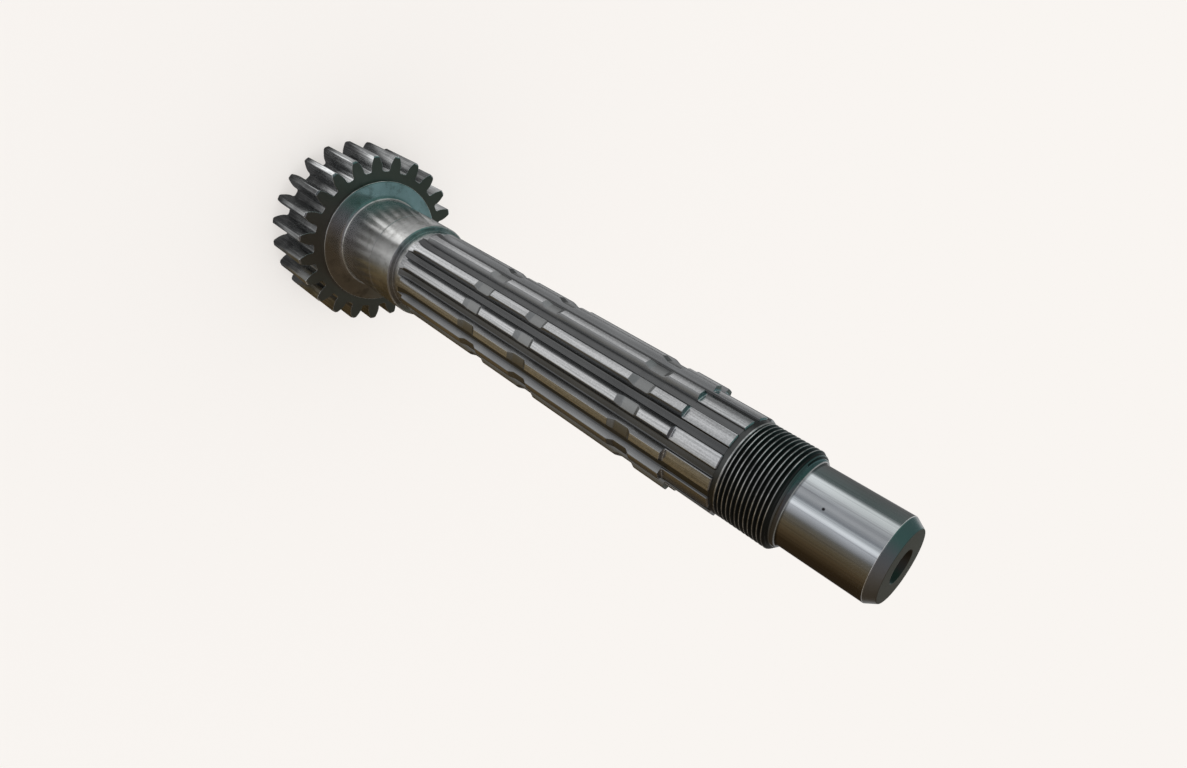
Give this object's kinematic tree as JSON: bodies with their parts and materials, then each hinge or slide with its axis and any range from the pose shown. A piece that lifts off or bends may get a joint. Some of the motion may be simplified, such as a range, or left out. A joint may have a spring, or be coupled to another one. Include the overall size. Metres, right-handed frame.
{
  "type": "splined pinion shaft",
  "caption": "Stepped steel drive shaft with an integral spur pinion, a ground journal, notched involute splines, a fine male thread and a plain stub end.",
  "frame": {"origin": "centre of the gear's back face, on the surface the shaft stands on", "axes": "+Z along the shaft's axis from the gear to the stub end; +X through the middle of one spline tooth"},
  "size_m": [0.0999, 0.0997, 0.3672],
  "materials": {
    "steel": "turned and ground steel, lightly oiled: bright journals and spline tops, darker gear faces and thread"
  },
  "bodies": {
    "root": {"splined_shaft": "steel"}
  },
  "joints": []
}
